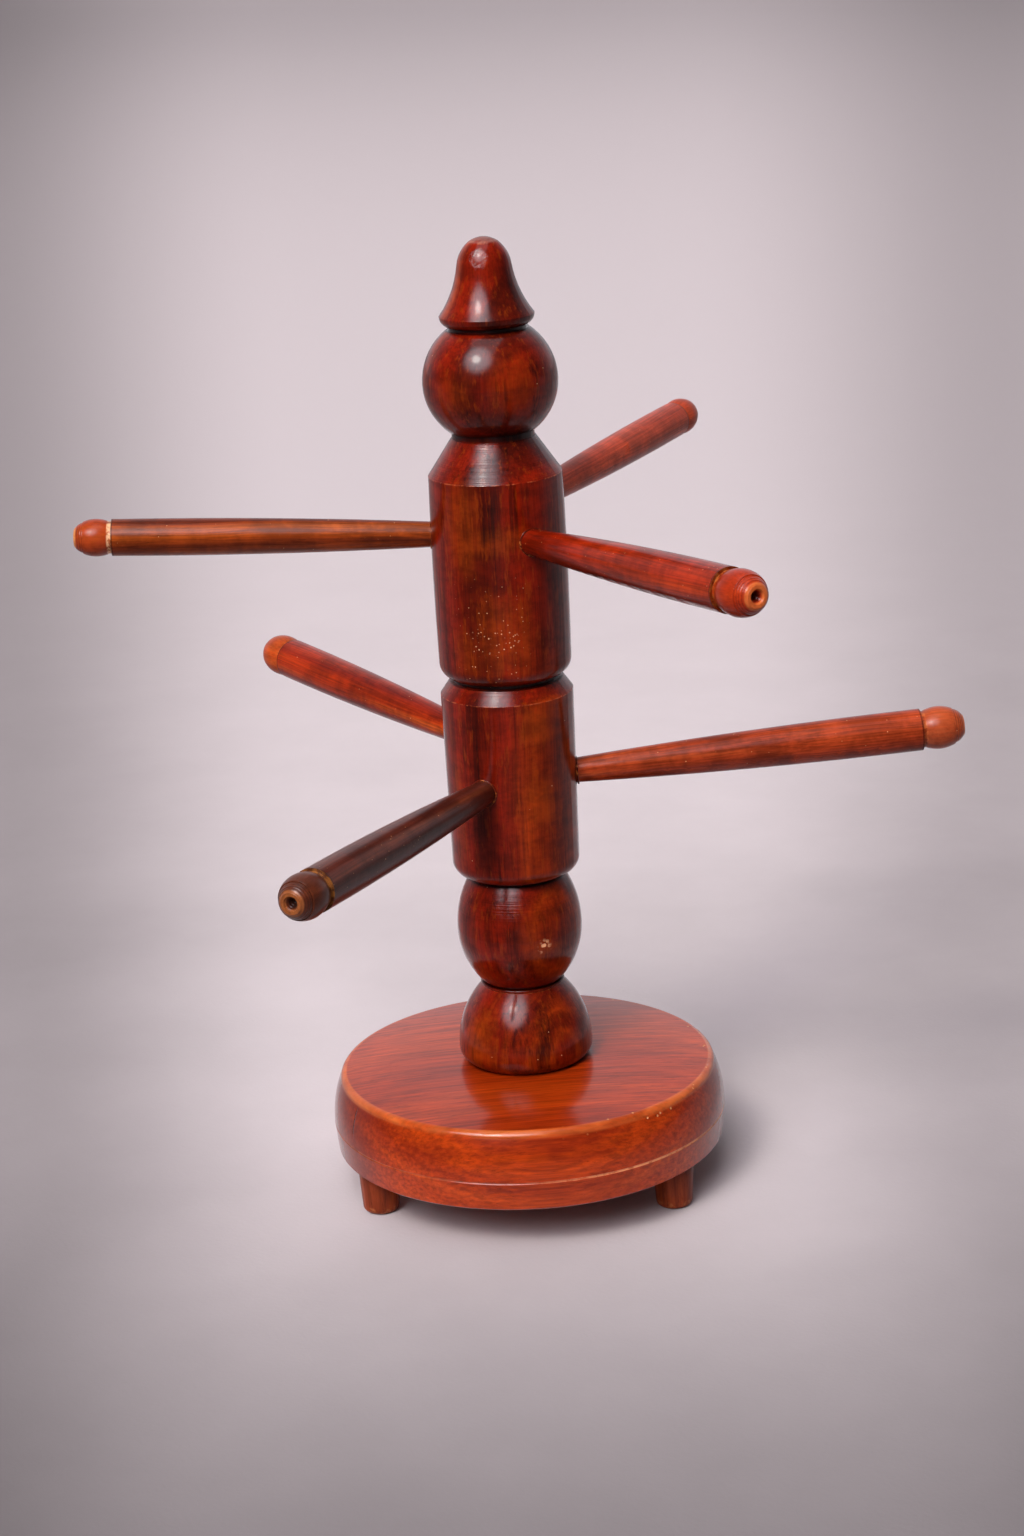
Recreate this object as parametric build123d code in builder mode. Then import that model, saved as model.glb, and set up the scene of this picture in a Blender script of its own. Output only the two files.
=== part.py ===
from build123d import *
import os

# Wooden mug tree: a turned post stands on a round base with three stub feet, and six tapered
# pegs rise a little as they leave it. Millimetres. Z is up along the post's axis, z = 0 is the
# surface that the feet stand on, and -Y is the side that the lower front peg points to.
# Profiles of turned pieces are drawn as (radius, level) in an upright plane and revolved.

# ---- Base: one thick turned disc ----
foot_height = 17.5  # level of the base's underside
underside_radius = 75.0
edge_break = 0.6
scribe_level = 28.5
scribe_width = 0.7
scribe_depth = 0.2
base_radius = 76.0  # at the scribed line, where the base is widest
side_middle = (75.2, 37.0)  # above the line the side is a long, shallow curve
rim_radius = 72.6  # the side's upper end, where the rounded rim begins
rim_level = 45.2
rim_round = 2.6
top_radius = 70.2  # the rounded rim's inner end
top_edge_level = 47.5
seat_radius = 26.0  # flat place under the post; the top falls away from it to the rim
seat_level = 49.8

# ---- Joint of post and base: a round tenon, and a screw with a washer from below ----
tenon_radius = 12.0
tenon_length = 14.0
counterbore_radius = 12.0
counterbore_depth = 6.0
clearance_radius = 2.8
shank_radius = 2.5
shank_length = 45.0
screw_point = 5.0
head_radius = 4.8
head_height = 3.0
head_round = 1.2
slot_width = 1.2
slot_depth = 1.4
washer_radius = 9.0
washer_thickness = 1.5
washer_bottom = foot_height + counterbore_depth - washer_thickness
screw_tip_level = washer_bottom + shank_length

# ---- Feet: turned stubs, each with a tenon ----
foot_circle = 65.0  # radius of the circle that the feet stand on
foot_directions = {"foot_front_left": 231.0, "foot_right": 351.0, "foot_back": 111.0}
foot_top_radius = 8.0
foot_bottom_radius = 7.0
foot_round = 2.4
foot_tenon_radius = 5.0
foot_tenon_length = 12.0

# ---- Post: one spindle, turned in one piece from its tenon to its finial ----
# Points of its outline, as (radius, level), from the base upwards.
contact = (22.3, seat_level)
collar_under = (24.9, 52.2)
collar_widest = (25.8, 55.8)
dome_top = (15.6, 80.5)
bead_top = (15.6, 81.7)
bead_bulge = 0.5
egg_bottom = (15.4, 82.1)
egg_widest = (23.9, 103.9)
egg_top = (18.4, 124.1)
lower_hub_underside = (19.6, 125.4)
lower_hub_foot = (24.2, 130.8)
lower_hub_head = (24.95, 196.7)
bevel_top = (21.5, 201.6)
upper_hub_underside = (21.3, 203.5)
upper_hub_foot = (24.8, 208.8)
upper_hub_middle = (25.15, 244.0)
upper_hub_head = (24.8, 279.7)
shoulder_top = (15.6, 293.4)
ball_bottom = (16.2, 295.9)
ball_widest = (24.95, 313.9)
ball_top = (15.2, 333.2)
skirt_underside = (14.8, 334.4)
skirt_edge = (17.5, 338.2)
bell_middle = (12.6, 346.8)
bell_head = (10.0, 356.5)
crown_edge = (5.4, 364.7)
top_level = 366.4
# Radii at the bottom of the grooves between those shapes.
collar_groove_radius = 14.4
waist_radius = 17.4
hub_groove_radius = 19.6
neck_radius = 15.3
finial_groove_radius = 14.2

# ---- Pegs: thicker outwards, with a knob behind a narrow groove and a dimpled end ----
peg_rise = 2.5  # degrees above level
root_radius = 4.8
socket_bottom = 9.0  # inner end of a peg and of its socket, from the post's axis
taper_start = 25.8  # the peg is straight as far as this, just outside the post
upper_peg_level = 256.5
lower_peg_level = 162.0

# The shape of the outer end, in shares of the knob's thickness.
knob_share = 1.0  # from the shaft's sharp end to the tip
shaft_end_share = 0.49
shaft_fullness = 0.055  # how far the shaft's curve stands outside a straight taper
groove_share = 0.425
groove_width_share = 0.07
knob_widest_share = 0.42  # along the knob
knob_step_share = 0.76
knob_step_radius_share = 0.425
knob_step_height_share = 0.022
knob_end_radius_share = 0.27
tip_radius_share = 0.235
tip_round_share = 0.03
dimple_radius_share = 0.165
dimple_depth_share = 0.24

# Each peg was turned and drilled by hand, so they differ a little: name, direction, the level
# where its axis meets the post's, its reach from that axis, and its knob's thickness.
pegs = [
    ("peg_lower_front", 270.0, lower_peg_level, 173.5, 16.4),
    ("peg_lower_right", 30.0, lower_peg_level, 173.5, 16.4),
    ("peg_lower_left", 150.0, lower_peg_level + 10.0, 173.5, 16.4),
    ("peg_upper_left", 205.5, upper_peg_level, 157.0, 14.0),
    ("peg_upper_right", 325.5, upper_peg_level, 169.5, 16.4),
    ("peg_upper_back", 87.5, upper_peg_level + 6.0, 169.5, 14.4),
]


def foot_centre(direction):
    """Where a foot's axis meets the surface that it stands on."""
    return Vector(foot_circle, 0, 0).rotate(Axis.Z, direction)


def peg_plane(direction, level):
    """A plane that holds a peg's axis: its origin is on the post's axis and its X runs outwards."""
    outwards = Vector(1, 0, 0).rotate(Axis.Y, -peg_rise).rotate(Axis.Z, direction)
    sideways = Vector(0, -1, 0).rotate(Axis.Z, direction)
    return Plane(origin=(0, 0, level), x_dir=outwards, z_dir=sideways)


def make_base():
    """The round base, with the post's socket, the screw's way in and the feet's sockets."""
    line_bottom = (base_radius, scribe_level - scribe_width / 2)
    line_top = (base_radius, scribe_level + scribe_width / 2)
    rim_start = (rim_radius, rim_level)
    rim_end = (top_radius, top_edge_level)
    with BuildPart() as base:
        with BuildSketch(Plane.XZ):
            with BuildLine():
                Polyline(
                    (seat_radius, seat_level),
                    (0, seat_level),
                    (0, foot_height),
                    (underside_radius - edge_break, foot_height),
                    (underside_radius, foot_height + edge_break),
                    line_bottom,
                    (base_radius - scribe_depth, scribe_level),
                    line_top,
                )
                ThreePointArc(line_top, side_middle, rim_start)
                RadiusArc(rim_start, rim_end, -rim_round)
                TangentArc((seat_radius, seat_level), rim_end, tangent=(1, 0))
            make_face()
        revolve(axis=Axis.Z)
        with BuildSketch(Plane.XY.offset(seat_level)):
            Circle(tenon_radius)
        extrude(amount=-tenon_length, mode=Mode.SUBTRACT)
        with BuildSketch(Plane.XY.offset(foot_height)):
            Circle(counterbore_radius)
        extrude(amount=counterbore_depth, mode=Mode.SUBTRACT)
        with BuildSketch(Plane.XY.offset(foot_height)):
            Circle(clearance_radius)
        extrude(amount=seat_level - foot_height, mode=Mode.SUBTRACT)
        for direction in foot_directions.values():
            with BuildSketch(Plane(foot_centre(direction)).offset(foot_height)):
                Circle(foot_tenon_radius)
            extrude(amount=foot_tenon_length, mode=Mode.SUBTRACT)
    return base.part


def make_foot(direction):
    """A stub foot: a tapered stem with a rounded lower edge, and a tenon into the base."""
    centre = foot_centre(direction)
    tenon_top = foot_height + foot_tenon_length
    edge_inner = (foot_bottom_radius - foot_round, 0)
    edge_outer = (foot_bottom_radius, foot_round)
    with BuildPart() as foot:
        with BuildSketch(Plane(centre, x_dir=(1, 0, 0), z_dir=(0, -1, 0))):
            with BuildLine():
                Polyline(
                    edge_inner,
                    (0, 0),
                    (0, tenon_top),
                    (foot_tenon_radius, tenon_top),
                    (foot_tenon_radius, foot_height),
                    (foot_top_radius, foot_height),
                    edge_outer,
                )
                RadiusArc(edge_inner, edge_outer, -foot_round)
            make_face()
        revolve(axis=Axis(centre, (0, 0, 1)))
    return foot.part


def groove(lower, upper, bottom_radius):
    """A square groove cut to bottom_radius, from the point below it to the point above it."""
    Polyline(lower, (bottom_radius, lower[1]), (bottom_radius, upper[1]), upper)


def make_post():
    """The turned post, with its tenon, the screw's pilot hole and a socket for each peg."""
    with BuildPart() as post:
        with BuildSketch(Plane.XZ):
            with BuildLine():
                Polyline(
                    (0, top_level),
                    (0, seat_level - tenon_length),
                    (tenon_radius, seat_level - tenon_length),
                    (tenon_radius, seat_level),
                    contact,
                )
                ThreePointArc(contact, collar_under, collar_widest)
                TangentArc(collar_widest, dome_top, tangent=(0, 1))
                SagittaArc(dome_top, bead_top, -bead_bulge)
                groove(bead_top, egg_bottom, collar_groove_radius)
                TangentArc(egg_widest, egg_bottom, tangent=(0, -1))
                TangentArc(egg_widest, egg_top, tangent=(0, 1))
                groove(egg_top, lower_hub_underside, waist_radius)
                TangentArc(lower_hub_foot, lower_hub_underside, tangent=(0, -1))
                Polyline(lower_hub_foot, lower_hub_head, bevel_top)
                groove(bevel_top, upper_hub_underside, hub_groove_radius)
                TangentArc(upper_hub_foot, upper_hub_underside, tangent=(0, -1))
                ThreePointArc(upper_hub_foot, upper_hub_middle, upper_hub_head)
                Line(upper_hub_head, shoulder_top)
                groove(shoulder_top, ball_bottom, neck_radius)
                TangentArc(ball_widest, ball_bottom, tangent=(0, -1))
                TangentArc(ball_widest, ball_top, tangent=(0, 1))
                groove(ball_top, skirt_underside, finial_groove_radius)
                TangentArc(skirt_edge, skirt_underside, tangent=(0, -1))
                bell = ThreePointArc(skirt_edge, bell_middle, bell_head)
                TangentArc(bell_head, crown_edge, tangent=bell % 1)
                TangentArc((0, top_level), crown_edge, tangent=(1, 0))
            make_face()
        revolve(axis=Axis.Z)
        with BuildSketch(Plane.XY.offset(seat_level - tenon_length)):
            Circle(shank_radius)
        extrude(amount=screw_tip_level - seat_level + tenon_length, mode=Mode.SUBTRACT)
        for _, direction, level, _, _ in pegs:
            along = peg_plane(direction, level)
            with BuildSketch(Plane(along.origin, z_dir=along.x_dir).offset(socket_bottom)):
                Circle(root_radius)
            extrude(amount=collar_widest[0], mode=Mode.SUBTRACT)
    return post.part


def make_peg(direction, level, reach, thickness):
    """A peg with its tenon: a tapered shaft, a groove, and a barrel-shaped knob with a dimple."""
    shaft_end = reach - knob_share * thickness
    shaft_end_radius = shaft_end_share * thickness
    taper_middle = (taper_start + shaft_end) / 2
    middle_radius = (root_radius + shaft_end_radius) / 2 + shaft_fullness * thickness
    groove_end = (shaft_end + groove_width_share * thickness, groove_share * thickness)
    widest = (shaft_end + knob_widest_share * thickness, thickness / 2)
    step = (shaft_end + knob_step_share * thickness, knob_step_radius_share * thickness)
    step_inner = step[1] - knob_step_height_share * thickness
    knob_end = (reach - tip_round_share * thickness, knob_end_radius_share * thickness)
    along = peg_plane(direction, level)
    with BuildPart() as peg:
        with BuildSketch(along):
            with BuildLine():
                Polyline(
                    (reach - dimple_depth_share * thickness, 0),
                    (socket_bottom, 0),
                    (socket_bottom, root_radius),
                    (taper_start, root_radius),
                )
                ThreePointArc(
                    (taper_start, root_radius), (taper_middle, middle_radius), (shaft_end, shaft_end_radius)
                )
                Polyline((shaft_end, shaft_end_radius), (shaft_end, groove_end[1]), groove_end)
                ThreePointArc(groove_end, widest, step)
                Line(step, (step[0], step_inner))
                SagittaArc((step[0], step_inner), knob_end, knob_step_height_share * thickness)
                Polyline(
                    knob_end,
                    (reach, tip_radius_share * thickness),
                    (reach, dimple_radius_share * thickness),
                    (reach - dimple_depth_share * thickness, 0),
                )
            make_face()
        revolve(axis=Axis(along.origin, along.x_dir))
    return peg.part


def make_screw():
    """The wood screw that holds the post: a slotted pan head, a plain shank and a point."""
    head_bottom = washer_bottom - head_height
    head_edge = (head_radius, head_bottom + head_round)
    head_face = (head_radius - head_round, head_bottom)
    with BuildPart() as screw:
        with BuildSketch(Plane.XZ):
            with BuildLine():
                Polyline(
                    head_face,
                    (0, head_bottom),
                    (0, screw_tip_level),
                    (shank_radius, screw_tip_level - screw_point),
                    (shank_radius, washer_bottom),
                    (head_radius, washer_bottom),
                    head_edge,
                )
                RadiusArc(head_face, head_edge, -head_round)
            make_face()
        revolve(axis=Axis.Z)
        with BuildSketch(Plane.XY.offset(head_bottom)):
            Rectangle(2 * head_radius, slot_width)
        extrude(amount=slot_depth, mode=Mode.SUBTRACT)
    return screw.part


def make_washer():
    """The flat washer between the screw's head and the counterbore's floor."""
    with BuildPart() as washer:
        with BuildSketch(Plane.XY.offset(washer_bottom)):
            Circle(washer_radius)
            Circle(clearance_radius, mode=Mode.SUBTRACT)
        extrude(amount=washer_thickness)
    return washer.part


def save(part, name):
    """Label a finished piece and write it to a file of its own."""
    part.label = name
    export_step(part, f"parts/{name}.step")


os.makedirs("parts", exist_ok=True)
save(make_base(), "base")
save(make_post(), "post")
save(make_screw(), "base_screw")
save(make_washer(), "screw_washer")
for name, direction in foot_directions.items():
    save(make_foot(direction), name)
for name, direction, level, reach, thickness in pegs:
    save(make_peg(direction, level, reach, thickness), name)
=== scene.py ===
import math
import random

import bmesh
import bpy
from mathutils import Matrix, Vector


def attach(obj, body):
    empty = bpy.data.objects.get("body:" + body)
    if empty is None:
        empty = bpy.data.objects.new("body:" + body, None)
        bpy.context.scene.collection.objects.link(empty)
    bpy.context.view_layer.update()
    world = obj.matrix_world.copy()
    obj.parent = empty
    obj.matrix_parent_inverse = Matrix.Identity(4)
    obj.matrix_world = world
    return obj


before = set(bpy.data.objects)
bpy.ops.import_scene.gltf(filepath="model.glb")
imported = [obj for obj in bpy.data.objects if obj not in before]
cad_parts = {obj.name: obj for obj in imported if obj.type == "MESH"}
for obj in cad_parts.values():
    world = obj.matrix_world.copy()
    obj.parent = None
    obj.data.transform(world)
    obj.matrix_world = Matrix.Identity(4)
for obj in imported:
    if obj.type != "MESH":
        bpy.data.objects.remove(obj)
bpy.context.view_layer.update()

# Lengths are in millimetres up to the moment that a mesh or a light is placed.
MM = 0.001
VIEW_AZIMUTH = 25.947  # degrees round the object from its front, towards +X
VIEW_PITCH = 16.78  # degrees below level
VIEW_ROLL = -3.112
CAMERA_PLACE = (524.8, -1077.9, 527.2)
CAMERA_LENS = 77.59
CAMERA_REACH = 1199.0  # from the camera to the axis, along the floor

COAT_IOR = 1.31  # of the post, whose polish is thin
POLISH_IOR = 1.40  # of the base
UNDER_COAT_SPECULAR = 0.04  # the wood itself barely shines: the coat over it does

WINDOW_AZIMUTH, WINDOW_ELEVATION = VIEW_AZIMUTH - 26.0, 46.0
# A value's low and high, and the brightness at each: the sky away from the camera, and the window.
SKY_RAMP = (0.05, 0.9, 0.10, 0.75)
WINDOW_RAMP = (0.89, 0.985, 0.0, 11.2)
KEY_AZIMUTH, KEY_ELEVATION = VIEW_AZIMUTH - 30.0, 47.0
AIM_LEVEL = 0.18  # metres: the lights look at this level on the post's axis
FLOOR_SIZE = 30.0  # metres

# Sizes that the CAD has too.
PEG_RISE = 2.5  # degrees
ROOT_RADIUS = 4.8  # of a peg where it enters the post
HUB_RADIUS = 24.95  # of the lower hub at its head
BASE_RADIUS = 76.0

# Lower and upper levels of parts that are painted: three of the post, and one of the base.
CONE = (280.0, 293.4)
BEVEL = (196.9, 201.5)
EGG_TOP = (113.0, 124.1)
SCRIBED_LINE = (28.3, 28.9)
CAP_LEVEL = 365.0  # from here up the finial is worn

BEAD_RADIUS = 0.45  # of the glue round a peg's root
RING_STEPS, RING_SIDES = 96, 12
DEGREES_PER_MM = math.degrees(1 / HUB_RADIUS)
SEAM = 209.0  # an azimuth that no streak crosses

# Each peg's direction, level, reach from the post's axis and knob thickness.
PEGS = {
    "peg_lower_front": (270.0, 162.0, 173.5, 16.4),
    "peg_lower_right": (30.0, 162.0, 173.5, 16.4),
    "peg_lower_left": (150.0, 172.0, 173.5, 16.4),
    "peg_upper_left": (205.5, 256.5, 157.0, 14.0),
    "peg_upper_right": (325.5, 256.5, 169.5, 16.4),
    "peg_upper_back": (87.5, 262.5, 169.5, 14.4),
}


def srgb(red, green, blue):
    """A colour given as 0 to 255, in the linear form that shaders take."""
    def linear(value):
        share = value / 255
        return share / 12.92 if share <= 0.04045 else ((share + 0.055) / 1.055) ** 2.4
    return (linear(red), linear(green), linear(blue), 1.0)


class Shader:
    """One node material, with short calls for the nodes that it needs."""

    def __init__(self, name):
        self.material = bpy.data.materials.new(name)
        self.material.use_nodes = True
        self.tree = self.material.node_tree
        self.tree.nodes.clear()
        metres = self.node("ShaderNodeTexCoord").outputs["Object"]
        self.place = self.vector("SCALE", metres, Scale=1 / MM)
        split = self.node("ShaderNodeSeparateXYZ", {"Vector": self.place}).outputs
        self.x, self.y, self.z = split[0], split[1], split[2]

    def put(self, socket, value):
        if isinstance(value, bpy.types.NodeSocket):
            self.tree.links.new(value, socket)
        else:
            socket.default_value = value

    def node(self, kind, inputs=None, **settings):
        made = self.tree.nodes.new(kind)
        for key, value in settings.items():
            setattr(made, key, value)
        for key, value in (inputs or {}).items():
            self.put(made.inputs[key], value)
        return made

    def math(self, operation, first, second=0.0, third=0.0):
        made = self.node("ShaderNodeMath", operation=operation)
        for socket, value in zip(made.inputs, (first, second, third)):
            self.put(socket, value)
        return made.outputs[0]

    def vector(self, operation, first, second=(0, 0, 0), Scale=None):
        made = self.node("ShaderNodeVectorMath", operation=operation)
        self.put(made.inputs[0], first)
        if Scale is None:
            self.put(made.inputs[1], second)
        else:
            self.put(made.inputs["Scale"], Scale)
        gives_number = operation in ("LENGTH", "DISTANCE", "DOT_PRODUCT")
        return made.outputs["Value" if gives_number else "Vector"]

    def join(self, x, y, z):
        return self.node("ShaderNodeCombineXYZ", {"X": x, "Y": y, "Z": z}).outputs[0]

    def step(self, value, low, high, out_low=0.0, out_high=1.0):
        """Goes smoothly from out_low to out_high as value goes from low to high."""
        inputs = {
            "Value": value, "From Min": low, "From Max": high,
            "To Min": out_low, "To Max": out_high,
        }
        return self.node("ShaderNodeMapRange", inputs, interpolation_type="SMOOTHSTEP").outputs[0]

    def band(self, value, low, high, soft):
        """1 between low and high, and 0 beyond them by more than soft."""
        rise = self.step(value, low - soft, low)
        fall = self.step(value, high, high + soft, 1.0, 0.0)
        return self.math("MULTIPLY", rise, fall)

    def noise(self, vector, scale=1.0, detail=2.0, roughness=0.5, colour=False):
        inputs = {"Vector": vector, "Scale": scale, "Detail": detail, "Roughness": roughness}
        made = self.node("ShaderNodeTexNoise", inputs)
        return made.outputs["Color" if colour else "Fac"]

    def ramp(self, value, stops):
        made = self.node("ShaderNodeValToRGB", {"Fac": value})
        elements = made.color_ramp.elements
        while len(elements) < len(stops):
            elements.new(0.5)
        for element, (place, colour) in zip(elements, stops):
            element.position = place
            element.color = colour
        return made.outputs["Color"]

    def mix(self, share, first, second, blend="MIX"):
        made = self.node("ShaderNodeMix", data_type="RGBA", blend_type=blend)
        self.put(made.inputs[0], share)
        self.put(made.inputs[6], first)
        self.put(made.inputs[7], second)
        return made.outputs[2]

    def dim(self, colour, factor):
        """The colour times a number from a socket."""
        return self.mix(1.0, colour, self.join(factor, factor, factor), "MULTIPLY")

    def many(self, operation, *values):
        total = values[0]
        for value in values[1:]:
            total = self.math(operation, total, value)
        return total

    def spot(self, centre, radius, soft, ragged=0.0, scale=0.3):
        """A round patch about a point, with a ragged edge."""
        away = self.vector("DISTANCE", self.place, centre)
        if ragged:
            wobble = self.math("SUBTRACT", self.noise(self.place, scale, 3.0, 0.6), 0.5)
            away = self.math("MULTIPLY_ADD", wobble, ragged * 2, away)
        return self.step(away, radius, radius + soft, 1.0, 0.0)

    def azimuth(self):
        """Each place's azimuth round the post's axis, in degrees past SEAM."""
        turn = self.math("MULTIPLY", self.math("ARCTAN2", self.y, self.x), 180.0 / math.pi)
        return self.math("WRAP", self.math("SUBTRACT", turn, SEAM), 360.0, 0.0)

    def strip(self, turn, level, azimuth, low, high, width, soft, lean=0.0, per_mm=DEGREES_PER_MM):
        """An upright streak on a turned surface, at an azimuth in degrees and between two levels.

        turn and level say where each place is. per_mm is the surface's degrees for each mm.
        """
        middle, span = (low + high) / 2, high - low
        aside = self.math("SUBTRACT", turn, (azimuth - SEAM) % 360.0)
        if lean:
            slant = self.math("SUBTRACT", level, middle)
            aside = self.math("MULTIPLY_ADD", slant, lean * per_mm, aside)
        across = self.step(
            self.math("ABSOLUTE", aside), width / 2 * per_mm, (width / 2 + soft) * per_mm, 1.0, 0.0)
        ends = self.band(level, middle - 0.2 * span, middle + 0.2 * span, 0.45 * span)
        return self.math("MULTIPLY", across, ends)

    def specks(self, scale, size, share, seed=0.0):
        """Small round specks, with scale in cells for each mm and size in cells.

        share is how many of the cells have one.
        """
        moved = self.vector("ADD", self.place, (seed, seed * 1.7, seed * 0.6))
        cell = self.node("ShaderNodeTexVoronoi", {"Vector": moved, "Scale": scale})
        draw = self.node("ShaderNodeSeparateColor", {"Color": cell.outputs["Color"]}).outputs[0]
        chosen = self.step(draw, share, share + 0.01, 1.0, 0.0)
        disc = self.step(cell.outputs["Distance"], size * 0.6, size, 1.0, 0.0)
        return self.math("MULTIPLY", chosen, disc)

    def bump(self, *layers):
        """One bump node from several layers, each a height and its depth in mm."""
        height = 0.0
        for value, depth in layers:
            height = self.math("MULTIPLY_ADD", value, depth, height)
        inputs = {"Height": height, "Distance": MM, "Strength": 1.0}
        return self.node("ShaderNodeBump", inputs).outputs[0]

    def finish(self, colour, roughness, normal, coat=1.0, coat_roughness=0.1, coat_ior=COAT_IOR):
        surface = self.node("ShaderNodeBsdfPrincipled", {
            "Base Color": colour, "Roughness": roughness, "Normal": normal,
            "Specular IOR Level": UNDER_COAT_SPECULAR, "Coat Weight": coat,
            "Coat Roughness": coat_roughness, "Coat IOR": coat_ior, "Coat Normal": normal,
        })
        output = self.node("ShaderNodeOutputMaterial")
        self.tree.links.new(surface.outputs[0], output.inputs[0])
        return self.material


def around(azimuth, radius, level):
    """A point at an azimuth in degrees round the post's axis."""
    turn = math.radians(azimuth)
    return (radius * math.cos(turn), radius * math.sin(turn), level)


def wood(s, grain, pith, stops, warp, ring, fibre, pore, seed, fine=1.0):
    """Solid wood: growth rings about a pith, fibres and pores. grain is in mm, with X along it.

    warp is how far the rings wander and ring how wide they are, both in mm. fibre and pore are
    strengths, and fine is how fine both are.
    """
    slow = s.vector("MULTIPLY", s.vector("ADD", grain, (seed, seed, seed)), (0.006, 0.03, 0.03))
    drift = s.vector("SUBTRACT", s.noise(slow, 1.0, 2.0, 0.5, colour=True), (0.5, 0.5, 0.5))
    warped = s.vector("ADD", grain, s.vector("MULTIPLY", drift, (0, warp, warp)))
    from_pith = s.vector("SUBTRACT", warped, (0, *pith))
    parts = s.node("ShaderNodeSeparateXYZ", {"Vector": from_pith}).outputs
    ring_place = s.vector("LENGTH", s.join(0.0, parts[1], parts[2]))
    along = s.math("MULTIPLY", parts[0], 0.0035)
    figure = s.noise(s.join(s.math("DIVIDE", ring_place, ring), along, seed), 1.0, 2.0, 0.45)
    colour = s.ramp(figure, stops)
    threads = s.noise(s.vector("MULTIPLY", warped, (0.02, 0.8 * fine, 0.8 * fine)), 1.0, 3.0, 0.65)
    colour = s.dim(colour, s.step(threads, 0.32, 0.68, 1.0 - fibre, 1.0 + fibre))
    holes = s.noise(s.vector("MULTIPLY", warped, (0.14, 2.6 * fine, 2.6 * fine)), 1.0, 2.0, 0.6)
    pits = s.step(holes, 0.60, 0.70)
    return s.dim(colour, s.math("MULTIPLY_ADD", pits, -pore, 1.0)), threads, pits


# Streaks of the post's figure, as azimuth, low and high level, width, softness, lean and strength.
BLACK_STREAKS = [
    (349, 337, 358, 1.5, 3, 0, 0.6), (338, 298, 328, 0.8, 2.5, 0, 0.7),
    (8, 296, 332, 12, 8, 0, 0.4), (230, 300, 328, 1.5, 3, 0, 0.5),
    (291, 258, 279, 2.0, 3.5, -0.1, 0.8), (297, 240, 264, 1.5, 4, 0, 0.45),
    (228, 202, 244, 0.8, 1.6, 0.06, 0.7), (237, 202, 240, 0.7, 1.6, 0.1, 0.6),
    (246, 205, 234, 0.6, 1.5, 0.12, 0.5), (336, 206, 250, 4, 6, 0, 0.5),
    (352, 206, 280, 6, 8, 0, 0.55), (320, 262, 281, 2, 3, 0, 0.4),
    (256, 168, 200, 0.6, 1.2, -0.05, 0.6), (263, 160, 200, 1.2, 1.6, -0.07, 0.65),
    (272, 172, 198, 0.5, 1.2, 0, 0.5), (268, 130, 158, 2.5, 5, 0.08, 0.65),
    (345, 128, 196, 5, 7, 0, 0.5), (303, 132, 172, 0.8, 2.5, 0, 0.45),
    (236, 84, 123, 4, 4, 0, 0.6), (289, 84, 112, 3, 5, 0, 0.4), (350, 84, 122, 6, 7, 0, 0.5),
    (313, 51, 78, 2.0, 3.5, -0.12, 0.8), (5, 52, 76, 5, 6, 0, 0.5),
    # The far side.
    (60, 210, 278, 3, 4, 0.03, 0.6), (110, 140, 196, 2, 4, 0, 0.6),
    (160, 205, 280, 5, 6, -0.04, 0.6), (190, 130, 190, 3, 5, 0, 0.55),
    (75, 300, 330, 3, 4, 0, 0.6), (130, 85, 122, 4, 4, 0, 0.6), (90, 51, 77, 3, 4, 0, 0.6),
]
AMBER_STREAKS = [
    (314, 303, 327, 9, 8, 0, 0.3), (262, 304, 322, 5, 6, 0, 0.25), (228, 338, 362, 3, 3, 0, 0.6),
    (262, 246, 280, 5, 6, 0, 0.55), (288, 253, 265, 14, 8, 0, 0.55), (300, 207, 240, 10, 9, 0, 0.5),
    (262, 206, 226, 5, 6, 0, 0.35), (320, 180, 196, 7, 6, 0, 0.6), (323, 148, 168, 5, 6, 0.1, 0.6),
    (240, 132, 176, 1.5, 4, 0, 0.35), (325, 97, 103, 9, 3.5, 0, 0.55), (250, 52, 74, 9, 6, 0, 0.65),
    # The far side.
    (20, 220, 270, 9, 9, 0, 0.5), (85, 135, 180, 8, 8, 0, 0.5), (135, 215, 262, 9, 9, 0, 0.55),
    (180, 88, 118, 9, 7, 0, 0.5), (150, 302, 326, 9, 8, 0, 0.5), (40, 53, 75, 9, 6, 0, 0.5),
]


def streaks(s, rows, turn, level):
    """The strength of the strongest streak at each place."""
    total = 0.0
    for row in rows:
        streak = s.strip(turn, level, *row[:-1])
        total = s.math("MAXIMUM", total, s.math("MULTIPLY", streak, row[-1]))
    return total


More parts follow.
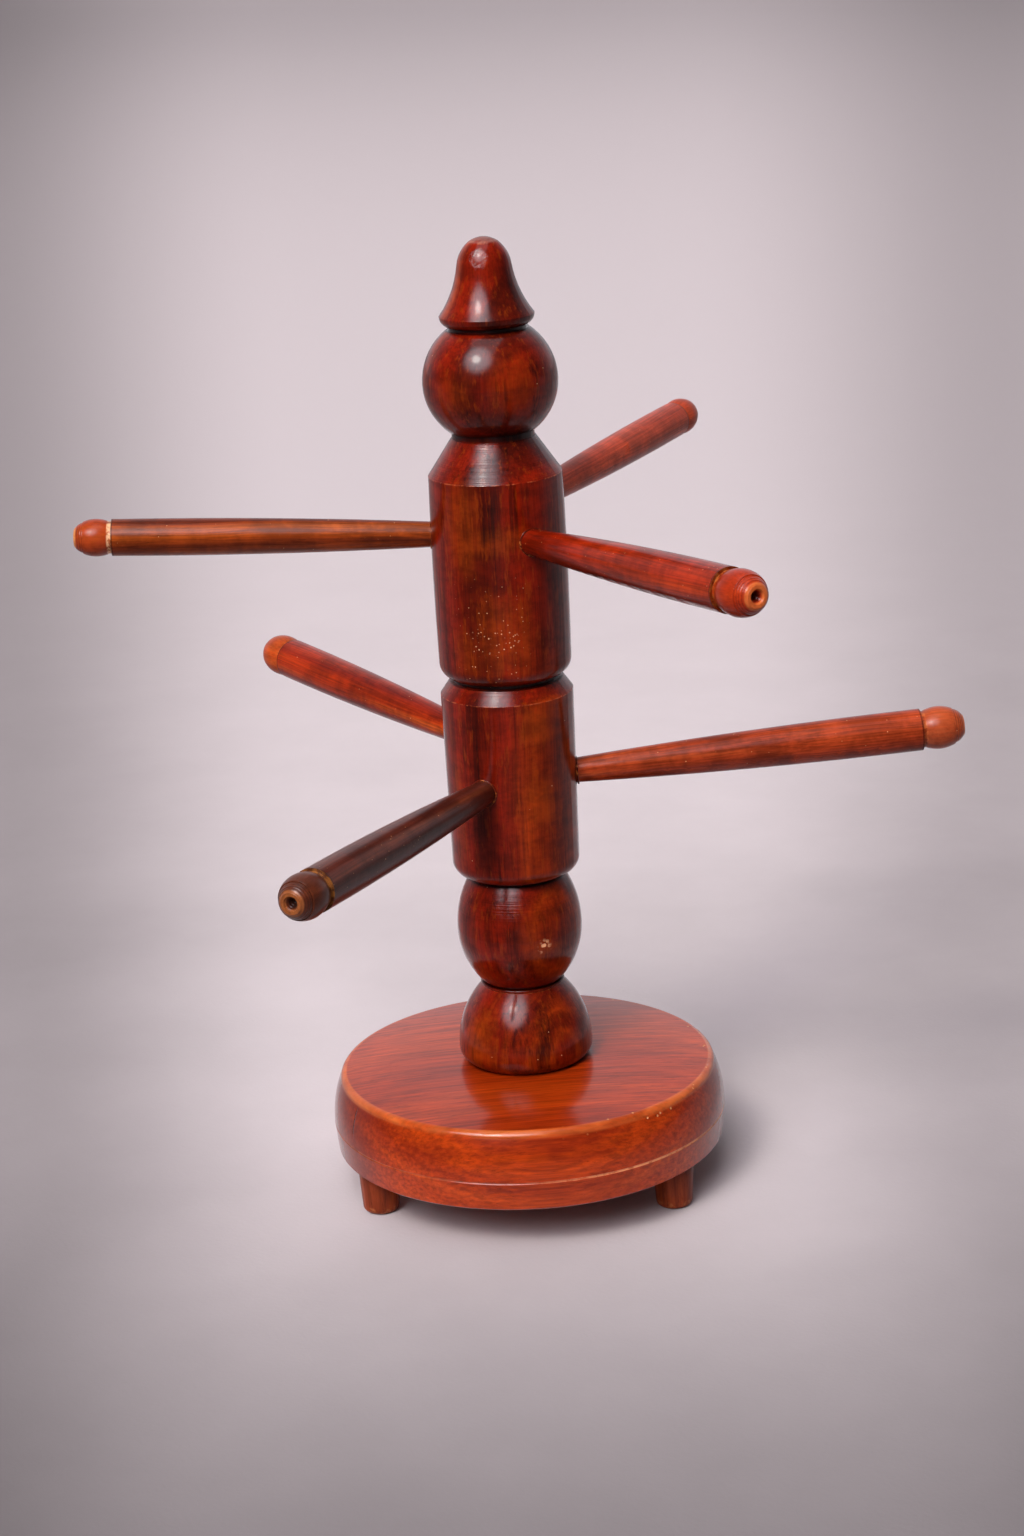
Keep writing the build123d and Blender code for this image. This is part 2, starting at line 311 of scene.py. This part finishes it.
def make_post_wood():
    """The post's wood."""
    s = Shader("post_wood_lacquered")
    grain = s.join(s.z, s.x, s.y)
    stops = [
        (0.28, srgb(72, 13, 3)), (0.40, srgb(88, 15, 3)), (0.50, srgb(116, 21, 3)),
        (0.58, srgb(104, 22, 3)), (0.66, srgb(130, 40, 4)), (0.76, srgb(88, 15, 3)),
    ]
    colour = wood(
        s, grain, (-34.0, 12.0), stops, warp=14.0, ring=9.0, fibre=0.20, pore=0.30, seed=3.7,
        fine=1.3)[0]
    wander = s.noise(s.vector("MULTIPLY", s.place, (0.09, 0.09, 0.05)), 1.0, 3.0, 0.6)
    feather = s.noise(s.vector("MULTIPLY", s.place, (0.75, 0.75, 0.02)), 1.0, 3.0, 0.6)
    wander = s.math("MULTIPLY_ADD", wander, 8.0, s.math("MULTIPLY_ADD", feather, 9.0, -8.5))
    level = s.math("MULTIPLY_ADD", wander, 1.5, s.z)
    turn = s.azimuth()
    strayed = s.math("MULTIPLY_ADD", wander, DEGREES_PER_MM, turn)
    combed = s.noise(s.vector("MULTIPLY", s.place, (1.1, 1.1, 0.03)), 1.0, 3.0, 0.6)
    amber = streaks(s, AMBER_STREAKS, strayed, level)
    glow = s.math("MULTIPLY", amber, s.step(combed, 0.3, 0.6, 0.55, 1.0))
    colour = s.mix(s.math("MULTIPLY", glow, 0.85), colour, srgb(142, 54, 5))
    black = streaks(s, BLACK_STREAKS, strayed, level)
    shade = s.math("MULTIPLY", black, s.step(combed, 0.38, 0.62, 0.95, 0.4))
    colour = s.mix(shade, colour, srgb(22, 6, 3))
    # Fine dark lines along the grain, in loose bundles.
    bundle = s.noise(s.vector("MULTIPLY", s.place, (0.06, 0.06, 0.012)), 1.0, 2.0, 0.5)
    bundle = s.step(bundle, 0.45, 0.65)
    fine_lines = s.noise(s.vector("MULTIPLY", s.place, (0.55, 0.55, 0.014)), 1.0, 2.0, 0.55)
    fine_lines = s.math("MULTIPLY", bundle, s.step(fine_lines, 0.52, 0.66))
    colour = s.dim(colour, s.math("MULTIPLY_ADD", fine_lines, -0.55, 1.0))
    # Shimmer across the grain, and small ragged flecks of paler wood.
    ripple = s.noise(s.vector("MULTIPLY", s.place, (0.12, 0.12, 0.2)), 1.0, 4.0, 0.65)
    colour = s.dim(colour, s.step(ripple, 0.32, 0.68, 0.72, 1.28))
    flecks = s.noise(s.vector("MULTIPLY", s.place, (0.5, 0.5, 0.09)), 1.0, 3.0, 0.65)
    colour = s.mix(s.step(flecks, 0.54, 0.68, 0.0, 0.3), colour, srgb(150, 58, 6))
    # Turning lines where the tool was left coarse.
    turned = s.noise(s.join(0.0, 0.0, s.z), 0.8, 3.0, 0.7)
    coarse = s.many(
        "MAXIMUM", s.band(s.z, *CONE, 0.5), s.band(s.z, *BEVEL, 0.3), s.band(s.z, *EGG_TOP, 3.0),
        s.band(s.z, 334.0, 338.0, 1.0),
    )
    strength = s.math("MULTIPLY_ADD", coarse, 0.7, 0.06)
    lines = s.math("MULTIPLY", s.math("SUBTRACT", turned, 0.5), strength)
    colour = s.dim(colour, s.math("MULTIPLY_ADD", lines, 0.7, 1.0))
    # Painted shade: darker in the grooves and under the ball.
    groove_shade = s.many(
        "MAXIMUM", s.band(s.z, 81.8, 82.6, 0.9), s.band(s.z, 124.2, 125.6, 1.2),
        s.band(s.z, 201.9, 203.2, 0.5), s.band(s.z, 294.2, 296.5, 1.2),
        s.band(s.z, 333.2, 334.4, 0.7),
    )
    colour = s.dim(colour, s.math("MULTIPLY_ADD", groove_shade, -0.75, 1.0))
    # Worn edges: the lower edges of the cone and the bevel, and the cap's. The pale ring on the
    # bead under the egg is a painted highlight.
    chew = s.noise(s.place, 0.5, 3.0, 0.6)
    worn_edges_and_bead_highlight = s.many(
        "MAXIMUM", s.band(s.z, 279.65, 279.8, 0.25), s.band(s.z, 196.6, 196.75, 0.2),
        s.band(s.z, 80.4, 80.7, 0.2), s.band(s.z, 364.4, CAP_LEVEL, 0.3),
    )
    worn_edges_and_bead_highlight = s.math("MULTIPLY", worn_edges_and_bead_highlight, s.step(chew, 0.42, 0.6))
    colour = s.mix(s.math("MULTIPLY", worn_edges_and_bead_highlight, 0.45), colour, srgb(186, 96, 56))
    # Nicks through the lacquer, most of them in one patch on the upper hub.
    patch = s.strip(turn, s.z, 288, 217.0, 226.0, 9.0, 6.0)
    scatter = s.strip(turn, s.z, 285, 203.0, 244.0, 16.0, 8.0)
    nicks = s.math("MULTIPLY", patch, s.specks(0.8, 0.26, 0.6))
    few = s.many(
        "MAXIMUM", s.math("MULTIPLY", s.specks(0.16, 0.04, 0.6, 4.0), 0.6),
        s.math("MULTIPLY", scatter, s.specks(0.7, 0.16, 0.35, 9.0)),
    )
    on_egg = s.spot(around(318.5, 23.4, 101.5), 0.6, 3.0, 2.0, 0.5)
    chip = s.math("MULTIPLY", on_egg, s.specks(0.55, 0.5, 0.8, 2.0))
    on_collar = s.strip(turn, s.z, 318, 52.0, 58.0, 8.0, 3.0)
    foot_nicks = s.math("MULTIPLY", on_collar, s.specks(0.6, 0.16, 0.3, 7.0))
    bare = s.many("MAXIMUM", nicks, few, chip, foot_nicks)
    colour = s.mix(s.math("MULTIPLY", bare, 0.95), colour, srgb(240, 178, 128))
    # The worn cap of the finial, and the dent in its front.
    cap = s.math("MULTIPLY", s.step(s.z, 364.2, CAP_LEVEL), s.step(chew, 0.3, 0.6, 0.5, 1.0))
    colour = s.mix(s.math("MULTIPLY", cap, 0.45), colour, srgb(150, 110, 98))
    dent = s.spot(around(283, 9.0, 359.4), 1.5, 2.6, 1.6, 0.5)
    dull = s.math("MULTIPLY", dent, s.step(chew, 0.4, 0.6, 0.1, 0.35))
    colour = s.mix(dull, colour, srgb(120, 62, 44))
    roughness = s.math("MULTIPLY_ADD", bare, 0.3, 0.32)
    roughness = s.math("ADD", roughness, s.math("MULTIPLY", cap, 0.25))
    peel = s.noise(s.place, 0.16, 2.0, 0.5)
    hollows = s.math("ADD", bare, s.math("MULTIPLY", dent, 1.5))
    normal = s.bump((peel, 0.05), (lines, 0.3), (hollows, -0.12))
    return s.finish(colour, roughness, normal, coat_roughness=0.14)


def make_base_wood():
    s = Shader("base_wood_lacquered")
    turn = math.radians(VIEW_AZIMUTH + 4.0)
    along = s.vector("DOT_PRODUCT", s.place, (math.cos(turn), math.sin(turn), 0))
    across = s.vector("DOT_PRODUCT", s.place, (-math.sin(turn), math.cos(turn), 0))
    grain = s.join(along, across, s.z)
    stops = [
        (0.28, srgb(140, 40, 5)), (0.45, srgb(158, 50, 6)),
        (0.60, srgb(172, 60, 8)), (0.75, srgb(148, 44, 6)),
    ]
    colour, threads, pits = wood(
        s, grain, (26.0, -150.0), stops, warp=5.0, ring=6.0, fibre=0.26, pore=0.36, seed=11.3,
        fine=0.9)
    radius = s.vector("LENGTH", s.join(s.x, s.y, 0.0))
    streaky = s.noise(s.vector("MULTIPLY", grain, (0.014, 0.5, 0.8)), 1.0, 3.0, 0.6)
    colour = s.dim(colour, s.step(streaky, 0.32, 0.68, 0.84, 1.12))
    cloud = s.noise(s.vector("MULTIPLY", grain, (0.02, 0.05, 0.05)), 1.0, 3.0, 0.55)
    colour = s.mix(s.step(cloud, 0.50, 0.70, 0.0, 0.35), colour, srgb(112, 26, 6))
    # End grain at both ends of the plank takes more stain.
    ends = s.step(s.math("ABSOLUTE", along), 52.0, 74.0)
    side = s.step(radius, 71.0, 72.5)
    colour = s.mix(s.many("MULTIPLY", ends, side, 0.6), colour, srgb(84, 20, 8))
    # A darker band of stain under the rim.
    upper = s.math("MULTIPLY", s.band(s.z, 37.0, 44.5, 3.0), side)
    mottle = s.noise(s.vector("MULTIPLY", s.place, (0.04, 0.04, 0.12)), 1.0, 3.0, 0.6)
    stain = s.many("MULTIPLY", upper, s.step(mottle, 0.4, 0.6), 0.45)
    colour = s.mix(stain, colour, srgb(98, 20, 8))
    # The scribed line is rubbed pale, most of all on the right.
    right = s.math("MULTIPLY_ADD", s.step(along, -20.0, 40.0), 0.75, 0.12)
    chew = s.noise(s.place, 0.35, 4.0, 0.65)
    rubbed = s.step(chew, 0.35, 0.5, 0.4, 1.0)
    line = s.many("MULTIPLY", s.band(s.z, *SCRIBED_LINE, 0.25), side, right, rubbed)
    colour = s.mix(line, colour, srgb(226, 150, 100))
    # The rim is worn to bare wood in a broken line, with chips on the right. Its pale band is
    # partly a painted highlight.
    rim = s.math("MULTIPLY", s.band(radius, 70.6, 72.2, 0.8), s.step(s.z, 44.0, 45.5))
    worn_rim_and_highlight = s.math("MULTIPLY", rim, s.step(mottle, 0.35, 0.6, 0.3, 1.0))
    colour = s.mix(s.math("MULTIPLY", worn_rim_and_highlight, 0.55), colour, srgb(222, 120, 56))
    near_rim = s.math("MULTIPLY", s.band(radius, 69.0, 73.2, 1.0), s.step(s.z, 42.5, 45.0))
    chips = s.many("MULTIPLY", near_rim, s.specks(0.45, 0.26, 0.3), s.step(along, 0.0, 45.0))
    colour = s.mix(s.math("MULTIPLY", chips, 0.7), colour, srgb(232, 160, 92))
    per_mm = math.degrees(1 / BASE_RADIUS)
    strayed = s.math("MULTIPLY_ADD", s.math("SUBTRACT", chew, 0.5), 2.0 * per_mm, s.azimuth())
    crack = s.strip(strayed, s.z, 232.5, 33.0, 44.0, 0.25, 0.35, per_mm=per_mm)
    colour = s.dim(colour, s.math("MULTIPLY_ADD", crack, -0.75, 1.0))
    # Painted shade round the post's foot, where the post stands on the base.
    colour = s.dim(colour, s.step(radius, 22.5, 24.5, 0.35, 1.0))
    roughness = s.math("MULTIPLY_ADD", pits, 0.1, 0.34)
    roughness = s.math("ADD", roughness, s.math("MULTIPLY", chips, 0.3))
    peel = s.noise(s.place, 0.12, 2.0, 0.5)
    normal = s.bump((peel, 0.07), (threads, 0.01), (crack, -0.25), (chips, -0.2))
    return s.finish(colour, roughness, normal, coat_roughness=0.13, coat_ior=POLISH_IOR)


def peg_axes(direction):
    """Unit vectors along a peg, to its side and upwards from it."""
    turn, rise = math.radians(direction), math.radians(PEG_RISE)
    out = Vector((math.cos(turn) * math.cos(rise), math.sin(turn) * math.cos(rise), math.sin(rise)))
    side = Vector((-math.sin(turn), math.cos(turn), 0))
    return out, side, out.cross(side)


def make_peg_wood(
        name, stops, seed, knob, groove, end, satin=0.34, coat=1.0, coat_roughness=0.19,
        pore=0.3, dust=0.3, coat_ior=1.25):
    """A peg's wood. knob, groove and end are (colour, strength) for those parts of it.

    satin is the wood's roughness under the coat, and dust the share of cells with a speck.
    """
    direction, level, reach, thickness = PEGS[name]
    s = Shader(name + "_lacquered")
    local = s.vector("SUBTRACT", s.place, (0, 0, level))
    axes = [s.vector("DOT_PRODUCT", local, tuple(axis)) for axis in peg_axes(direction)]
    along = axes[0]
    radius = s.vector("LENGTH", s.join(0.0, axes[1], axes[2]))
    colour, threads, pits = wood(
        s, s.join(*axes), (9.0, -14.0), stops, warp=9.0, ring=5.5, fibre=0.30, pore=pore,
        seed=seed, fine=1.8)
    cloud = s.noise(s.vector("MULTIPLY", s.place, (0.07, 0.07, 0.07)), 1.0, 4.0, 0.65)
    colour = s.dim(colour, s.step(cloud, 0.36, 0.64, 0.7, 1.22))
    shoulder = reach - thickness
    chew = s.noise(s.vector("ADD", s.place, (seed, 0, 0)), 0.45, 4.0, 0.65)
    knob_mask = s.step(along, shoulder + 0.6, shoulder + 1.6)
    knob_share = s.math("MULTIPLY", knob_mask, s.step(chew, 0.3, 0.7, knob[1] * 0.5, knob[1]))
    colour = s.mix(knob_share, colour, knob[0])
    # The groove behind the knob shows bare wood where the stain never reached.
    groove_mask = s.band(along, shoulder + 0.1, shoulder + 1.3, 0.5)
    bare = s.step(chew, 0.42, 0.60, groove[1] * 0.1, groove[1])
    colour = s.mix(s.math("MULTIPLY", groove_mask, bare), colour, groove[0])
    # Painted shade: a dark band just before the groove behind the knob.
    edge = s.band(along, shoulder - 0.5, shoulder - 0.1, 0.3)
    colour = s.dim(colour, s.math("MULTIPLY_ADD", edge, -0.55, 1.0))
    # Turned steps near the tip, the pale end, and painted shade inside the dimple.
    steps = s.math("SINE", s.math("MULTIPLY", along, 7.0))
    near_tip = s.step(along, reach - 0.30 * thickness, reach - 0.24 * thickness)
    dark_steps = s.math("MULTIPLY", near_tip, s.step(steps, 0.4, 1.0))
    colour = s.dim(colour, s.math("MULTIPLY_ADD", dark_steps, -0.35, 1.0))
    face = s.step(along, reach - 1.1, reach - 0.5)
    end_share = s.math("MULTIPLY", face, s.step(chew, 0.3, 0.6, end[1] * 0.6, end[1]))
    colour = s.mix(end_share, colour, end[0])
    dimple = s.step(radius, thickness * 0.10, thickness * 0.17, 1.0, 0.0)
    behind_tip = s.step(along, reach - 2.0, reach - 0.7, 1.0, 0.0)
    dimple_shade = s.many("MULTIPLY", dimple, behind_tip, s.step(along, shoulder, shoulder + 2.0))
    colour = s.dim(colour, s.math("MULTIPLY_ADD", dimple_shade, -0.75, 1.0))
    # Specks in the lacquer.
    large, small = s.specks(0.22, 0.06, dust, seed), s.specks(0.5, 0.10, dust * 0.5, seed + 3.0)
    flecks = s.math("MAXIMUM", large, small)
    colour = s.mix(s.math("MULTIPLY", flecks, 0.7), colour, srgb(232, 170, 110))
    roughness = s.math("MULTIPLY_ADD", pits, 0.12, satin)
    roughness = s.math("ADD", roughness, s.math("MULTIPLY", face, 0.2))
    peel = s.noise(s.place, 0.22, 2.0, 0.5)
    relief = s.math("MULTIPLY", near_tip, steps)
    normal = s.bump((peel, 0.08), (threads, 0.012), (relief, 0.04), (flecks, -0.08))
    return s.finish(colour, roughness, normal, coat, coat_roughness, coat_ior)


def make_foot_wood():
    s = Shader("foot_wood_stained")
    grain = s.join(s.z, s.x, s.y)
    stops = [(0.3, srgb(84, 30, 12)), (0.5, srgb(128, 52, 22)), (0.7, srgb(150, 70, 32))]
    colour, threads, pits = wood(
        s, grain, (-60.0, 20.0), stops, warp=8.0, ring=3.0, fibre=0.2, pore=0.4, seed=5.1)
    chew = s.noise(s.place, 0.4, 4.0, 0.65)
    edge = s.math("MULTIPLY", s.band(s.z, 0.6, 2.6, 1.0), s.step(chew, 0.45, 0.6))
    colour = s.mix(s.math("MULTIPLY", edge, 0.4), colour, srgb(176, 104, 58))
    # Painted shade: darker at the very bottom, by the floor, and at the top, under the base.
    colour = s.dim(colour, s.step(s.z, 0.0, 1.2, 0.5, 1.0))
    colour = s.dim(colour, s.step(s.z, 13.0, 17.0, 1.0, 0.6))
    roughness = s.math("MULTIPLY_ADD", pits, 0.15, 0.42)
    return s.finish(colour, roughness, s.bump((threads, 0.06)), coat=0.5, coat_roughness=0.25)


def make_zinc():
    s = Shader("zinc_steel_brushed")
    radius = s.vector("LENGTH", s.join(s.x, s.y, 0.0))
    rings = s.noise(s.join(radius, 0.0, s.z), 3.0, 3.0, 0.7)
    cloud = s.step(s.noise(s.place, 0.6, 3.0), 0.35, 0.65)
    colour = s.mix(cloud, srgb(150, 150, 146), srgb(186, 185, 178))
    surface = s.node("ShaderNodeBsdfPrincipled", {
        "Base Color": colour, "Metallic": 1.0, "Roughness": s.step(rings, 0.3, 0.7, 0.3, 0.5),
        "Normal": s.bump((rings, 0.03)),
    })
    output = s.node("ShaderNodeOutputMaterial")
    s.tree.links.new(surface.outputs[0], output.inputs[0])
    return s.material


def make_glue():
    """Dried glue and bare wood round the root of each peg."""
    s = Shader("root_glue_dried")
    chew = s.noise(s.place, 0.5, 4.0, 0.65)
    colour = s.mix(s.step(chew, 0.5, 0.66), srgb(84, 24, 10), srgb(176, 98, 46))
    roughness = s.step(chew, 0.3, 0.7, 0.3, 0.5)
    return s.finish(colour, roughness, s.bump((chew, 0.15)), coat=0.5, coat_roughness=0.2)


def dress(node, material):
    """Gives a CAD node's object one material."""
    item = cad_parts[node]
    for spot in item.material_slots:
        spot.material = material
    if not item.material_slots:
        item.data.materials.append(material)


GOLDEN = [(0.3, srgb(86, 29, 7)), (0.5, srgb(130, 52, 12)), (0.7, srgb(156, 76, 22))]
RED = [(0.3, srgb(84, 14, 3)), (0.5, srgb(128, 26, 4)), (0.7, srgb(156, 48, 10))]
DULL = [(0.3, srgb(136, 42, 22)), (0.5, srgb(172, 62, 34)), (0.7, srgb(186, 80, 46))]
ORANGE = [(0.3, srgb(112, 22, 3)), (0.5, srgb(150, 42, 6)), (0.7, srgb(186, 84, 24))]
BRICK = [(0.3, srgb(112, 32, 11)), (0.5, srgb(148, 54, 22)), (0.7, srgb(176, 84, 40))]
DARK = [(0.3, srgb(44, 16, 9)), (0.5, srgb(74, 28, 16)), (0.7, srgb(104, 50, 28))]
CREAM, GOLD, BARE = srgb(236, 186, 138), srgb(206, 132, 62), srgb(214, 120, 60)

dress("post", make_post_wood())
dress("base", make_base_wood())
dress("peg_lower_front", make_peg_wood(
    "peg_lower_front", DARK, 2.0, (srgb(96, 46, 22), 0.5), (srgb(176, 112, 52), 0.75),
    (srgb(160, 92, 46), 0.7), satin=0.44, coat=0.8, coat_roughness=0.28, pore=0.4, dust=0.6,
    coat_ior=1.4))
dress("peg_lower_right", make_peg_wood(
    "peg_lower_right", BRICK, 23.0, (srgb(172, 84, 46), 0.6), (BARE, 0.4),
    (srgb(206, 110, 62), 0.6)))
dress("peg_lower_left", make_peg_wood(
    "peg_lower_left", ORANGE, 41.0, (srgb(200, 104, 48), 0.4), (BARE, 0.3), (GOLD, 0.5),
    coat=0.7))
dress("peg_upper_left", make_peg_wood(
    "peg_upper_left", GOLDEN, 57.0, (srgb(168, 62, 26), 0.8), (CREAM, 0.9),
    (srgb(224, 150, 84), 0.8), satin=0.36, coat_roughness=0.2, pore=0.4))
dress("peg_upper_right", make_peg_wood(
    "peg_upper_right", RED, 71.0, (srgb(164, 52, 26), 0.6), (GOLD, 0.4),
    (srgb(208, 108, 52), 0.8), dust=0.5))
dress("peg_upper_back", make_peg_wood(
    "peg_upper_back", DULL, 83.0, (srgb(150, 66, 44), 0.5), (BARE, 0.2), (BARE, 0.3),
    satin=0.45, coat=0.8, coat_roughness=0.3))
foot_wood = make_foot_wood()
for foot in ("foot_front_left", "foot_right", "foot_back"):
    dress(foot, foot_wood)
zinc = make_zinc()
dress("base_screw", zinc)
dress("screw_washer", zinc)


def make_root_ring(name, material, seed):
    """A bead of glue round a peg where it enters the post, uneven as a wiped bead is."""
    direction, level = PEGS[name][:2]
    out, side, up = peg_axes(direction)
    draw = random.Random(seed)
    waves = [
        (draw.uniform(0.5, 1.0), draw.randint(1, 6), draw.uniform(0, math.tau)) for _ in range(5)
    ]
    shape = bmesh.new()
    rings = []
    for index in range(RING_STEPS):
        turn = math.tau * index / RING_STEPS
        swell = sum(size * math.sin(count * turn + phase) for size, count, phase in waves) / 3.0
        bead = BEAD_RADIUS * (1.0 + 0.35 * swell)
        spoke = side * math.cos(turn) + up * math.sin(turn)
        wall_radius = ROOT_RADIUS + bead * 0.35
        # How far out along the peg the post's surface is in this direction.
        sideways = wall_radius * math.cos(turn)
        wall = math.sqrt(HUB_RADIUS ** 2 - sideways ** 2) + 0.02
        depth = wall / math.cos(math.radians(PEG_RISE))
        centre = Vector((0, 0, level)) + out * depth + spoke * wall_radius
        ring = []
        for corner in range(RING_SIDES):
            angle = math.tau * corner / RING_SIDES
            offset = (out * math.cos(angle) * 0.8 + spoke * math.sin(angle)) * bead
            ring.append(shape.verts.new((centre + offset) * MM))
        rings.append(ring)
    for index, ring in enumerate(rings):
        following = rings[(index + 1) % RING_STEPS]
        for corner in range(RING_SIDES):
            after = (corner + 1) % RING_SIDES
            shape.faces.new((ring[corner], following[corner], following[after], ring[after]))
    bmesh.ops.recalc_face_normals(shape, faces=shape.faces)
    mesh = bpy.data.meshes.new("root_ring_" + name[4:])
    shape.to_mesh(mesh)
    shape.free()
    for face in mesh.polygons:
        face.use_smooth = True
    piece = bpy.data.objects.new(mesh.name, mesh)
    bpy.context.scene.collection.objects.link(piece)
    piece.data.materials.append(material)
    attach(piece, "root")


glue = make_glue()
for number, name in enumerate(PEGS):
    make_root_ring(name, glue, number)


def make_floor():
    bpy.ops.mesh.primitive_plane_add(size=FLOOR_SIZE)
    floor = bpy.context.object
    floor.name = "floor"
    s = Shader("floor_plain")
    turn = math.radians(VIEW_AZIMUTH)
    away = s.vector("DOT_PRODUCT", s.place, (-math.sin(turn), math.cos(turn), 0))
    across = s.vector("DOT_PRODUCT", s.place, (math.cos(turn), math.sin(turn), 0))
    cloud = s.noise(s.place, 0.012, 4.0, 0.6)
    fade = s.step(away, 200.0, 1500.0, 1.0, 0.0)
    mottle = s.math("MULTIPLY", s.math("SUBTRACT", cloud, 0.5), fade)
    # Painted light fall-off: the floor is palest round the object, and darker to the front, the
    # sides and the far end.
    ratio = s.math("DIVIDE", across, s.math("ADD", s.math("ABSOLUTE", away), CAMERA_REACH))
    painted_falloff_and_mottle = s.many(
        "MULTIPLY", s.step(away, -330.0, 90.0, 0.36, 1.0), s.step(away, 1700.0, 7500.0, 1.0, 0.6),
        s.step(ratio, 0.06, 0.16, 1.0, 0.62), s.step(ratio, -0.16, -0.06, 0.5, 1.0),
        s.step(s.math("ABSOLUTE", ratio), 0.17, 0.3, 1.0, 0.8),
        # A faint darker band 300 to 320 mm behind the object is a painted shade line.
        s.math("MULTIPLY_ADD", s.band(away, 300.0, 320.0, 60.0), -0.05, 1.0),
        s.math("MULTIPLY_ADD", mottle, 0.2, 1.0),
    )
    colour = s.dim(srgb(197, 190, 190), painted_falloff_and_mottle)
    weave = s.bump((s.noise(s.place, 0.5, 3.0), 0.1))
    floor.data.materials.append(s.finish(colour, 0.9, weave, coat=0.0))


def towards(azimuth, elevation):
    """The direction from the object at a view azimuth and an elevation, in degrees."""
    turn, rise = math.radians(azimuth), math.radians(elevation)
    flat = math.cos(rise)
    return Vector((math.sin(turn) * flat, -math.cos(turn) * flat, math.sin(rise)))


def make_world():
    """Soft light from all round, brightest behind the object, and a bright soft window."""
    world = bpy.data.worlds.new("studio")
    bpy.context.scene.world = world
    world.use_nodes = True
    tree = world.node_tree
    place = tree.nodes.new("ShaderNodeTexCoord").outputs["Generated"]
    turn = math.radians(VIEW_AZIMUTH)
    dot = tree.nodes.new("ShaderNodeVectorMath")
    dot.operation = "DOT_PRODUCT"
    dot.inputs[1].default_value = (-math.sin(turn), math.cos(turn), 0)
    tree.links.new(place, dot.inputs[0])
    ramp = tree.nodes.new("ShaderNodeMapRange")
    ramp.interpolation_type = "SMOOTHSTEP"
    for socket, value in zip(ramp.inputs[1:5], SKY_RAMP):
        socket.default_value = value
    tree.links.new(dot.outputs["Value"], ramp.inputs[0])
    window = tree.nodes.new("ShaderNodeVectorMath")
    window.operation = "DOT_PRODUCT"
    window.inputs[1].default_value = towards(WINDOW_AZIMUTH, WINDOW_ELEVATION)
    tree.links.new(place, window.inputs[0])
    glow = tree.nodes.new("ShaderNodeMapRange")
    glow.interpolation_type = "SMOOTHSTEP"
    for socket, value in zip(glow.inputs[1:5], WINDOW_RAMP):
        socket.default_value = value
    tree.links.new(window.outputs["Value"], glow.inputs[0])
    total = tree.nodes.new("ShaderNodeMath")
    tree.links.new(ramp.outputs[0], total.inputs[0])
    tree.links.new(glow.outputs[0], total.inputs[1])
    background = tree.nodes["Background"]
    background.inputs[0].default_value = srgb(236, 229, 237)
    tree.links.new(total.outputs[0], background.inputs[1])


def light_from(name, data, azimuth, elevation, distance):
    """Puts a light in the scene so that it looks at the middle of the object."""
    light = bpy.data.objects.new(name, data)
    bpy.context.scene.collection.objects.link(light)
    back = towards(azimuth, elevation)
    light.location = Vector((0, 0, AIM_LEVEL)) + back * distance
    light.rotation_mode = "QUATERNION"
    light.rotation_quaternion = (-back).to_track_quat("-Z", "Y")


def sun_light(name, azimuth, elevation, angle, strength, colour):
    data = bpy.data.lights.new(name, "SUN")
    data.angle = math.radians(angle)
    data.energy = strength
    data.color = colour
    light_from(name, data, azimuth, elevation, 2.0)


def area_light(name, azimuth, elevation, distance, width, height, power, colour):
    data = bpy.data.lights.new(name, "AREA")
    data.shape = "RECTANGLE"
    data.size, data.size_y = width, height
    data.energy = power
    data.color = colour
    light_from(name, data, azimuth, elevation, distance)


def make_camera():
    data = bpy.data.cameras.new("camera")
    data.lens = CAMERA_LENS
    camera = bpy.data.objects.new("camera", data)
    bpy.context.scene.collection.objects.link(camera)
    turn, roll = math.radians(VIEW_AZIMUTH), math.radians(VIEW_ROLL)
    forward = -towards(VIEW_AZIMUTH, VIEW_PITCH)
    right = Vector((math.cos(turn), math.sin(turn), 0))
    up = right.cross(forward)
    tilted_right = right * math.cos(roll) + up * math.sin(roll)
    tilted_up = up * math.cos(roll) - right * math.sin(roll)
    pose = Matrix((tilted_right, tilted_up, -forward)).transposed().to_4x4()
    pose.translation = Vector(CAMERA_PLACE) * MM
    camera.matrix_world = pose
    bpy.context.scene.camera = camera


make_floor()
make_world()
sun_light(
    "key", KEY_AZIMUTH, KEY_ELEVATION, angle=13.0, strength=1.0, colour=(1.0, 0.93, 0.86))
area_light(
    "overhead", VIEW_AZIMUTH - 20.0, 80.0, distance=1.3, width=0.8, height=0.8, power=3.5,
    colour=(0.97, 0.95, 1.0))
make_camera()
bpy.context.scene.view_settings.view_transform = "Standard"
